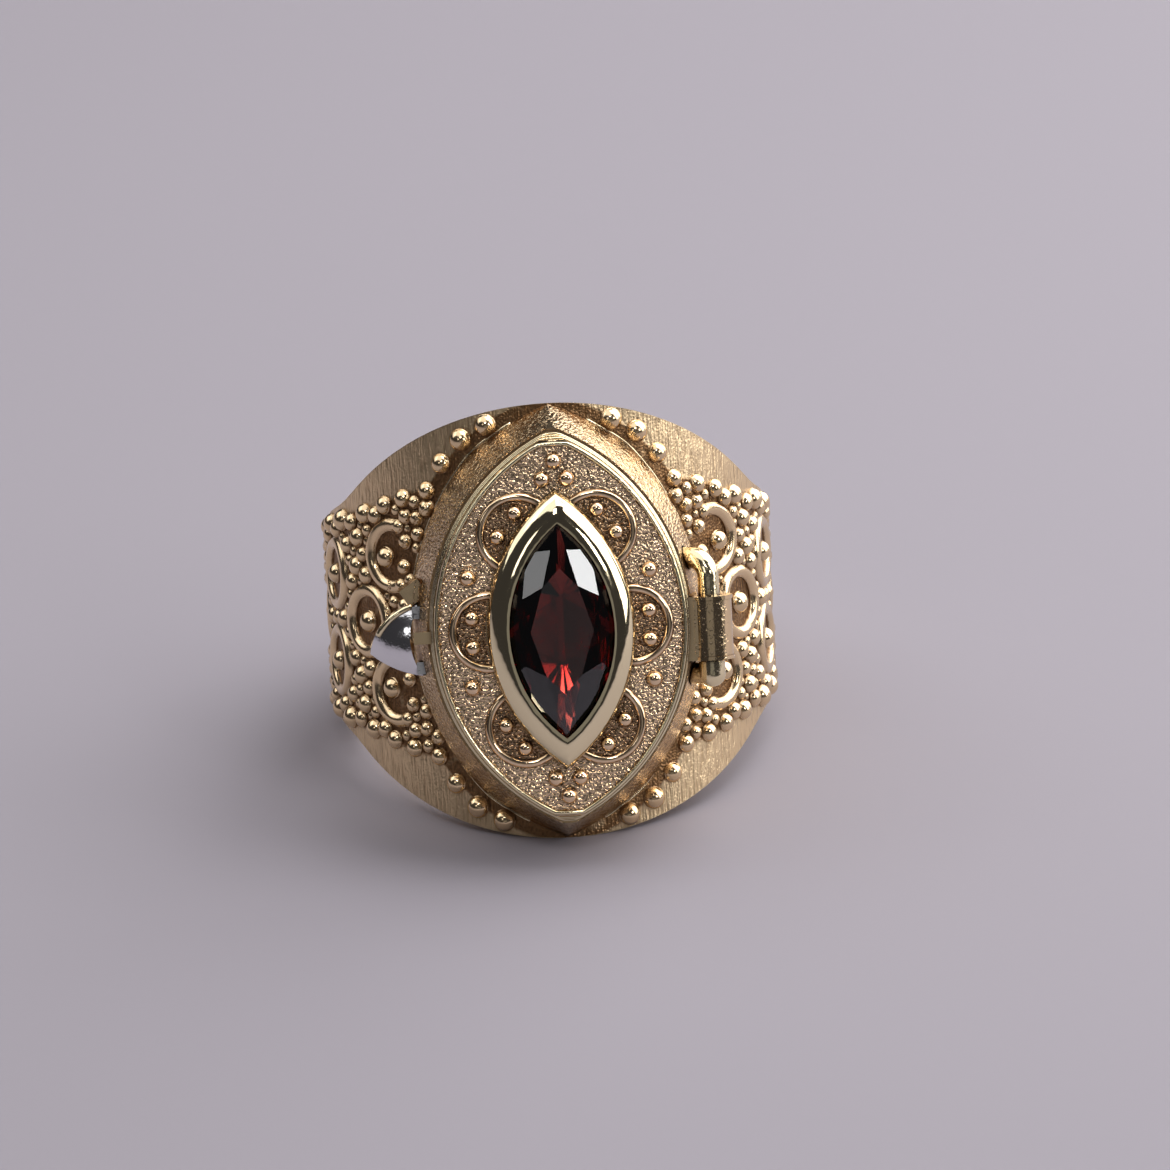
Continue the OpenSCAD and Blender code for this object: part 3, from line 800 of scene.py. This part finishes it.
def ball(centre, ball_radius, verts, faces):
    """Adds the points and faces of one round granule to the lists."""
    start = len(verts)
    for row in range(1, ball_rows):
        fall = math.pi * row / ball_rows
        for k in range(ball_sides):
            spin = 2 * math.pi * k / ball_sides
            away = Vector((math.sin(fall) * math.cos(spin), math.sin(fall) * math.sin(spin), math.cos(fall)))
            verts.append(ring_frame @ (centre + away * ball_radius))
    verts.append(ring_frame @ (centre + Vector((0, 0, ball_radius))))
    verts.append(ring_frame @ (centre - Vector((0, 0, ball_radius))))
    top, bottom = len(verts) - 2, len(verts) - 1
    for row in range(ball_rows - 2):
        for k in range(ball_sides):
            low, high = start + row * ball_sides, start + (row + 1) * ball_sides
            after = (k + 1) % ball_sides
            faces.append((low + k, high + k, high + after, low + after))
    last = start + (ball_rows - 2) * ball_sides
    for k in range(ball_sides):
        after = (k + 1) % ball_sides
        faces.append((top, start + k, start + after))
        faces.append((bottom, last + after, last + k))


for side_name, spots in spots_of_side.items():
    verts, faces = [], []
    rows = filled_places(spots)
    for turn, height_here, size in rows:
        ball(on_band(turn, height_here, -fill_sink), size / 2, verts, faces)
    filling = add_piece("filling_granules_" + side_name, verts, faces, band_gold)
    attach(filling, "ring")
    print(filling.name, "has", len(rows), "granules and", len(faces), "faces")

# %% [markdown]
# The ring lies on a plain pale sheet. It is a single large square, so its edge never shows, and its finish
# is matt with a little lilac in the grey.

# %% Floor
floor_size = 2.0
FLOOR_GREY = (0.25, 0.228, 0.257, 1)
floor_rough = 0.9

floor_material, tree, shader = new_material("floor")
shader.inputs["Base Color"].default_value = FLOOR_GREY
shader.inputs["Roughness"].default_value = floor_rough
half = floor_size / 2
corners = [(-half, -half, 0), (half, -half, 0), (half, half, 0), (-half, half, 0)]
floor = add_piece("floor", corners, [(0, 1, 2, 3)], floor_material)
print("the floor is", floor_size, "m wide")

# %% [markdown]
# Polished gold shows its surroundings, so the light is a set of soft boxes in a dim room. The overhead
# box hangs a little behind and to the right, and it draws the bright edges and throws the shadow to the
# left. A wide, weaker tent over everything fills the upper faces. A window behind at the right, a panel
# at the right and a weaker panel at the left light the shoulders and the sides of the bezel. A small box
# over the camera puts a point of light on each granule, and a dim card in front gives the hinge its
# bands. The last two small boxes stand just where the two upper facets of the stone mirror them. The
# room stays dark round the camera, which gives the polished edges their black lines.
#
# A picture of a real studio could light the ring in one step, but separate boxes are easy to move, and
# each one can be switched off to see what it does.

# %% Light
ROOM_GREY = (0.30, 0.29, 0.31, 1)
room_strength = 0.12
ring_middle = (0, 0, 8)

world = bpy.data.worlds.new("studio")
world.use_nodes = True
background = world.node_tree.nodes["Background"]
background.inputs["Color"].default_value = ROOM_GREY
background.inputs["Strength"].default_value = room_strength
bpy.context.scene.world = world
bpy.context.scene.view_settings.view_transform = "Standard"


def softbox(name, place, size, glow):
    """A lit panel that faces the ring; a white thing that mirrors one with a glow of 1 looks just white."""
    data = bpy.data.lights.new(name, "AREA")
    data.shape = "RECTANGLE"
    data.size, data.size_y = (length * MM for length in size)
    data.energy = glow * math.pi * data.size * data.size_y
    lamp = bpy.data.objects.new(name, data)
    bpy.context.scene.collection.objects.link(lamp)
    spot = Vector(place) * MM
    lamp.location = spot
    lamp.rotation_euler = (Vector(ring_middle) * MM - spot).to_track_quat("-Z", "Y").to_euler()


# Each box's name, place and size in millimetres, and glow
softbox("overhead", (110, 60, 290), (240, 190), 4.4)
softbox("tent", (-60, 60, 330), (480, 400), 1.2)
softbox("left_panel", (-236, 110, 203), (300, 160), 1.3)
softbox("right_window", (223, 200, 140), (330, 280), 3.2)
softbox("right_panel", (256, -45, 158), (170, 290), 3.2)
softbox("front_card", (0, -300, 70), (190, 80), 0.16)
softbox("over_camera", (-30, -260, 330), (70, 50), 18.0)
softbox("facet_light_right", (160, -208, 153), (50, 56), 10.5)
softbox("facet_light_left", (-143, -216, 160), (50, 56), 2.1)
print("the studio has", len(bpy.data.lights), "soft boxes")
